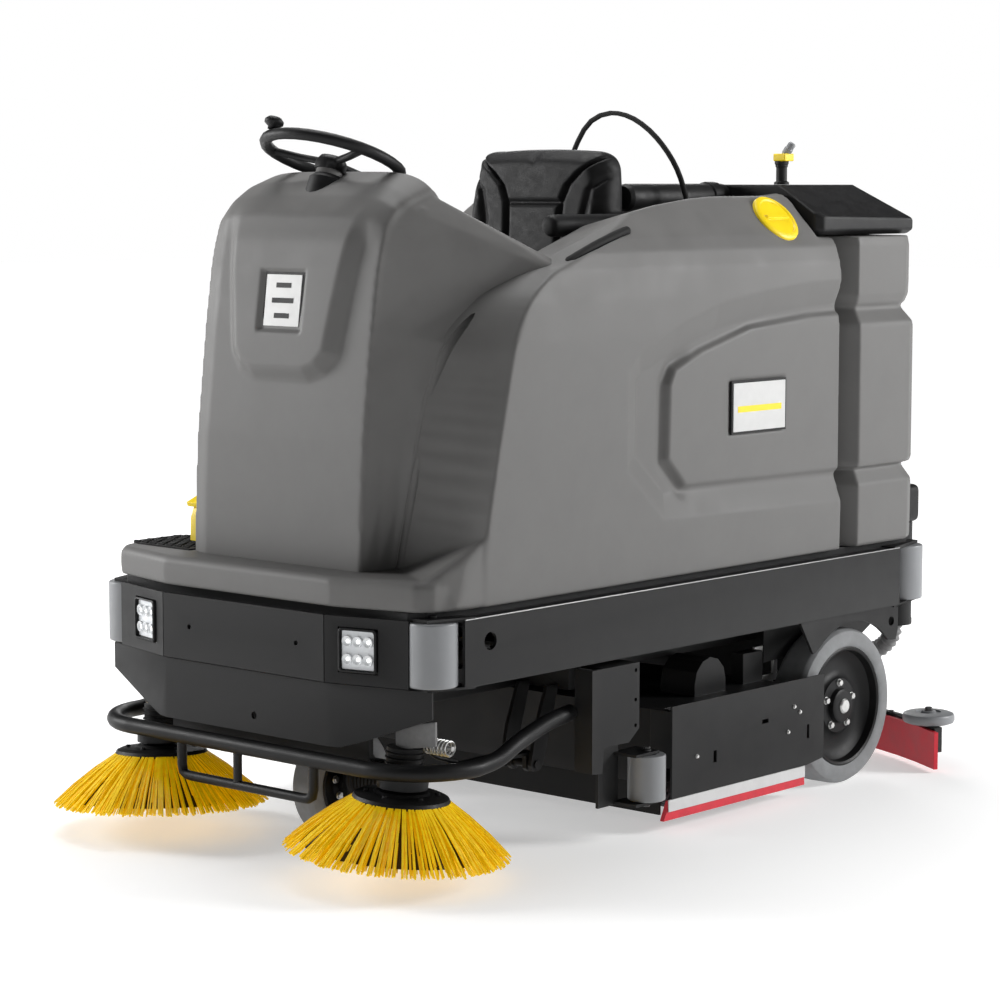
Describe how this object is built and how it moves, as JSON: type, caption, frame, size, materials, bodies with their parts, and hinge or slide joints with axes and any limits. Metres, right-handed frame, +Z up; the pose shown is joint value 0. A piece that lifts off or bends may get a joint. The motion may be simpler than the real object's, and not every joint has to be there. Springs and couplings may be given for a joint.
{
  "type": "ride-on scrubber sweeper",
  "caption": "Ride-on scrubber sweeper: low steel chassis with corner rollers, side brushes, lifting scrub deck, curved squeegee, moulded tanks, driver's seat and steering wheel.",
  "frame": {"origin": "on the floor, below the middle of the machine's overall box", "axes": "+X to the machine's left, -Y forwards, +Z up"},
  "size_m": [1.339, 2.3548, 1.7832],
  "materials": {
    "chassis_frame": "satin powder coat",
    "front_bumper": "satin powder coat",
    "front_apron": "satin powder coat",
    "headlight_left": "clear moulded lens",
    "headlight_right": "clear moulded lens",
    "side_beam_left": "satin powder coat",
    "side_beam_right": "satin powder coat",
    "rear_beam": "satin powder coat",
    "guard_tube": "satin powder coat",
    "side_bracket_left": "satin powder coat",
    "side_bracket_right": "satin powder coat",
    "deck_shell": "finely textured moulding",
    "step_mat": "ribbed",
    "console_cowl": "finely textured moulding",
    "dashboard": "finely textured moulding",
    "solution_tank": "finely textured moulding",
    "recovery_tank": "finely textured moulding",
    "seat_pedestal": "textured",
    "battery_pack": "smooth case",
    "suction_turbine": "ribbed housing",
    "vacuum_duct": "ribbed duct",
    "arched_hose": "smooth",
    "spray_coupling": "smooth",
    "suction_hose": "corrugated",
    "steering_wheel": "soft grained grip",
    "spinner_knob": "smooth",
    "steering_shaft": "turned",
    "front_fork": "satin powder coat",
    "drive_motor": "cast and painted",
    "front_wheel": "solid tyre",
    "rear_wheel_left": "solid non-marking tyre on a black rim",
    "rear_wheel_right": "solid non-marking tyre on a black rim",
    "corner_roller_front_left": "smooth",
    "corner_roller_front_right": "smooth",
    "corner_roller_rear_left": "smooth",
    "corner_roller_rear_right": "smooth",
    "deflector_roller_left": "smooth",
    "deflector_roller_right": "smooth",
    "brush_arm_left": "satin powder coat",
    "brush_arm_right": "satin powder coat",
    "side_brush_left": "bristles in a black disc",
    "side_brush_right": "bristles in a black disc",
    "scrub_deck": "satin powder coat",
    "side_lip_left": "smooth",
    "side_lip_right": "smooth",
    "roller_brush_front": "bristles",
    "roller_brush_rear": "bristles",
    "squeegee_bar": "satin powder coat",
    "squeegee_blade": "smooth",
    "squeegee_disc_left": "smooth",
    "squeegee_disc_right": "smooth",
    "tank_lid": "finely textured moulding",
    "fill_cap": "smooth",
    "seat_cushion": "black coated fabric",
    "seat_backrest": "black coated fabric",
    "armrest": "soft grained",
    "brake_pedal": "yellow paint",
    "drive_pedal": "ribbed",
    "emergency_button": "smooth",
    "key_switch": "turned"
  },
  "bodies": {
    "chassis": {"chassis_frame": "chassis_frame", "front_bumper": "front_bumper", "front_apron": "front_apron", "headlight_left": "headlight_left", "headlight_right": "headlight_right", "side_beam_left": "side_beam_left", "side_beam_right": "side_beam_right", "rear_beam": "rear_beam", "guard_tube": "guard_tube", "side_bracket_left": "side_bracket_left", "side_bracket_right": "side_bracket_right", "deck_shell": "deck_shell", "step_mat": "step_mat", "console_cowl": "console_cowl", "dashboard": "dashboard", "solution_tank": "solution_tank", "recovery_tank": "recovery_tank", "seat_pedestal": "seat_pedestal", "battery_pack": "battery_pack", "suction_turbine": "suction_turbine", "vacuum_duct": "vacuum_duct", "arched_hose": "arched_hose"},
    "steering": {"steering_wheel": "steering_wheel", "steering_shaft": "steering_shaft"},
    "wheel_knob": {"spinner_knob": "spinner_knob"},
    "drive_fork": {"front_fork": "front_fork", "drive_motor": "drive_motor"},
    "drive_wheel": {"front_wheel": "front_wheel"},
    "rear_wheel_l": {"rear_wheel_left": "rear_wheel_left"},
    "rear_wheel_r": {"rear_wheel_right": "rear_wheel_right"},
    "bumper_roller_fl": {"corner_roller_front_left": "corner_roller_front_left"},
    "bumper_roller_fr": {"corner_roller_front_right": "corner_roller_front_right"},
    "bumper_roller_rl": {"corner_roller_rear_left": "corner_roller_rear_left"},
    "bumper_roller_rr": {"corner_roller_rear_right": "corner_roller_rear_right"},
    "deflector_l": {"deflector_roller_left": "deflector_roller_left"},
    "deflector_r": {"deflector_roller_right": "deflector_roller_right"},
    "broom_arm_l": {"brush_arm_left": "brush_arm_left"},
    "broom_arm_r": {"brush_arm_right": "brush_arm_right"},
    "broom_l": {"side_brush_left": "side_brush_left"},
    "broom_r": {"side_brush_right": "side_brush_right"},
    "deck": {"scrub_deck": "scrub_deck", "side_lip_left": "side_lip_left", "side_lip_right": "side_lip_right"},
    "roll_front": {"roller_brush_front": "roller_brush_front"},
    "roll_rear": {"roller_brush_rear": "roller_brush_rear"},
    "squeegee": {"squeegee_bar": "squeegee_bar", "squeegee_blade": "squeegee_blade", "suction_hose": "suction_hose"},
    "squeegee_roller_l": {"squeegee_disc_left": "squeegee_disc_left"},
    "squeegee_roller_r": {"squeegee_disc_right": "squeegee_disc_right"},
    "lid": {"tank_lid": "tank_lid", "spray_coupling": "spray_coupling"},
    "cap": {"fill_cap": "fill_cap"},
    "seat": {"seat_cushion": "seat_cushion", "seat_backrest": "seat_backrest"},
    "arm": {"armrest": "armrest"},
    "brake": {"brake_pedal": "brake_pedal"},
    "drive": {"drive_pedal": "drive_pedal"},
    "stop_button": {"emergency_button": "emergency_button"},
    "key": {"key_switch": "key_switch"}
  },
  "joints": [
    {"name": "fork_turn", "type": "hinge", "parent": "chassis", "child": "drive_fork", "pos_m": [0, -0.68663, 0.3], "axis": [0, 0, 1], "range_deg": [-80, 80]},
    {"name": "steering_turn", "type": "hinge", "parent": "chassis", "child": "steering", "pos_m": [0, -0.70263, 1.654], "axis": [0, 0.342, 0.9397], "range_deg": [-240, 240]},
    {"name": "knob_spin", "type": "hinge", "parent": "steering", "child": "wheel_knob", "pos_m": [-0.06218, -0.84726, 1.70664], "axis": [0, 0.342, 0.9397], "continuous": true},
    {"name": "drive_wheel_spin", "type": "hinge", "parent": "drive_fork", "child": "drive_wheel", "pos_m": [0, -0.68663, 0.14], "axis": [1, 0, 0], "continuous": true},
    {"name": "rear_wheel_left_spin", "type": "hinge", "parent": "chassis", "child": "rear_wheel_l", "pos_m": [0.5, 0.66437, 0.208], "axis": [1, 0, 0], "continuous": true},
    {"name": "rear_wheel_right_spin", "type": "hinge", "parent": "chassis", "child": "rear_wheel_r", "pos_m": [-0.5, 0.66437, 0.208], "axis": [1, 0, 0], "continuous": true},
    {"name": "corner_roller_front_left_spin", "type": "hinge", "parent": "chassis", "child": "bumper_roller_fl", "pos_m": [0.512, -0.90663, 0.538], "axis": [0, 0, 1], "continuous": true},
    {"name": "corner_roller_front_right_spin", "type": "hinge", "parent": "chassis", "child": "bumper_roller_fr", "pos_m": [-0.512, -0.90663, 0.538], "axis": [0, 0, 1], "continuous": true},
    {"name": "corner_roller_rear_left_spin", "type": "hinge", "parent": "chassis", "child": "bumper_roller_rl", "pos_m": [0.512, 0.97637, 0.538], "axis": [0, 0, 1], "continuous": true},
    {"name": "corner_roller_rear_right_spin", "type": "hinge", "parent": "chassis", "child": "bumper_roller_rr", "pos_m": [-0.512, 0.97637, 0.538], "axis": [0, 0, 1], "continuous": true},
    {"name": "deflector_roller_left_spin", "type": "hinge", "parent": "chassis", "child": "deflector_l", "pos_m": [0.556, -0.18863, 0.151], "axis": [0, 0, 1], "continuous": true},
    {"name": "deflector_roller_right_spin", "type": "hinge", "parent": "chassis", "child": "deflector_r", "pos_m": [-0.556, -0.18863, 0.151], "axis": [0, 0, 1], "continuous": true},
    {"name": "broom_arm_left_lower", "type": "hinge", "parent": "chassis", "child": "broom_arm_l", "pos_m": [0.42, -0.49663, 0.215], "axis": [1, 0, 0], "range_deg": [0, 5.5]},
    {"name": "broom_left_spin", "type": "hinge", "parent": "broom_arm_l", "child": "broom_l", "pos_m": [0.412, -0.90463, 0.212], "axis": [0.0592, 0.0522, 0.9969], "continuous": true},
    {"name": "broom_arm_right_lower", "type": "hinge", "parent": "chassis", "child": "broom_arm_r", "pos_m": [-0.42, -0.49663, 0.215], "axis": [1, 0, 0], "range_deg": [0, 5.5]},
    {"name": "broom_right_spin", "type": "hinge", "parent": "broom_arm_r", "child": "broom_r", "pos_m": [-0.412, -0.90463, 0.212], "axis": [-0.0592, 0.0522, 0.9969], "continuous": true},
    {"name": "deck_lift", "type": "slide", "parent": "chassis", "child": "deck", "axis": [0, 0, 1], "range_m": [-0.026, 0.03]},
    {"name": "front_roll_spin", "type": "hinge", "parent": "deck", "child": "roll_front", "pos_m": [0, 0.01837, 0.106], "axis": [1, 0, 0], "continuous": true},
    {"name": "rear_roll_spin", "type": "hinge", "parent": "deck", "child": "roll_rear", "pos_m": [0, 0.19837, 0.106], "axis": [1, 0, 0], "continuous": true},
    {"name": "squeegee_lift", "type": "hinge", "parent": "chassis", "child": "squeegee", "pos_m": [0, 0.81337, 0.35], "axis": [1, 0, 0], "range_deg": [-1, 8]},
    {"name": "squeegee_roller_left_spin", "type": "hinge", "parent": "squeegee", "child": "squeegee_roller_l", "pos_m": [0.592, 1.00115, 0.138], "axis": [0, 0, 1], "continuous": true},
    {"name": "squeegee_roller_right_spin", "type": "hinge", "parent": "squeegee", "child": "squeegee_roller_r", "pos_m": [-0.592, 1.00115, 0.138], "axis": [0, 0, 1], "continuous": true},
    {"name": "lid_open", "type": "hinge", "parent": "chassis", "child": "lid", "pos_m": [0, 0.99837, 1.46], "axis": [-1, 0, 0], "range_deg": [0, 95]},
    {"name": "cap_open", "type": "hinge", "parent": "chassis", "child": "cap", "pos_m": [0.42869, 0.42737, 1.56497], "axis": [0, -1, 0], "range_deg": [0, 110]},
    {"name": "seat_slide", "type": "slide", "parent": "chassis", "child": "seat", "axis": [0, 1, 0], "range_m": [-0.08, 0]},
    {"name": "armrest_raise", "type": "hinge", "parent": "seat", "child": "arm", "pos_m": [0.276, 0.07337, 1.49], "axis": [-1, 0, 0], "range_deg": [0, 90]},
    {"name": "brake_press", "type": "hinge", "parent": "chassis", "child": "brake", "pos_m": [-0.375, -0.81663, 0.722], "axis": [1, 0, 0], "range_deg": [0, 25], "stiffness_Nm_per_rad": 3, "springref_deg": -17.19},
    {"name": "drive_press", "type": "hinge", "parent": "chassis", "child": "drive", "pos_m": [0.09, -0.35663, 0.722], "axis": [1, 0, 0], "range_deg": [0, 20], "stiffness_Nm_per_rad": 3, "springref_deg": -20.05},
    {"name": "stop_press", "type": "slide", "parent": "chassis", "child": "stop_button", "axis": [0, 0, -1], "range_m": [0, 0.004], "stiffness_N_per_m": 800, "springref_m": -0.002},
    {"name": "key_turn", "type": "hinge", "parent": "chassis", "child": "key", "pos_m": [0.17, -0.50463, 1.42], "axis": [0, 1, 0], "range_deg": [0, 90]}
  ],
  "couplings": [
    {"joint": "steering_turn", "follows": "fork_turn", "ratio": 3},
    {"joint": "rear_roll_spin", "follows": "front_roll_spin", "ratio": -1}
  ]
}
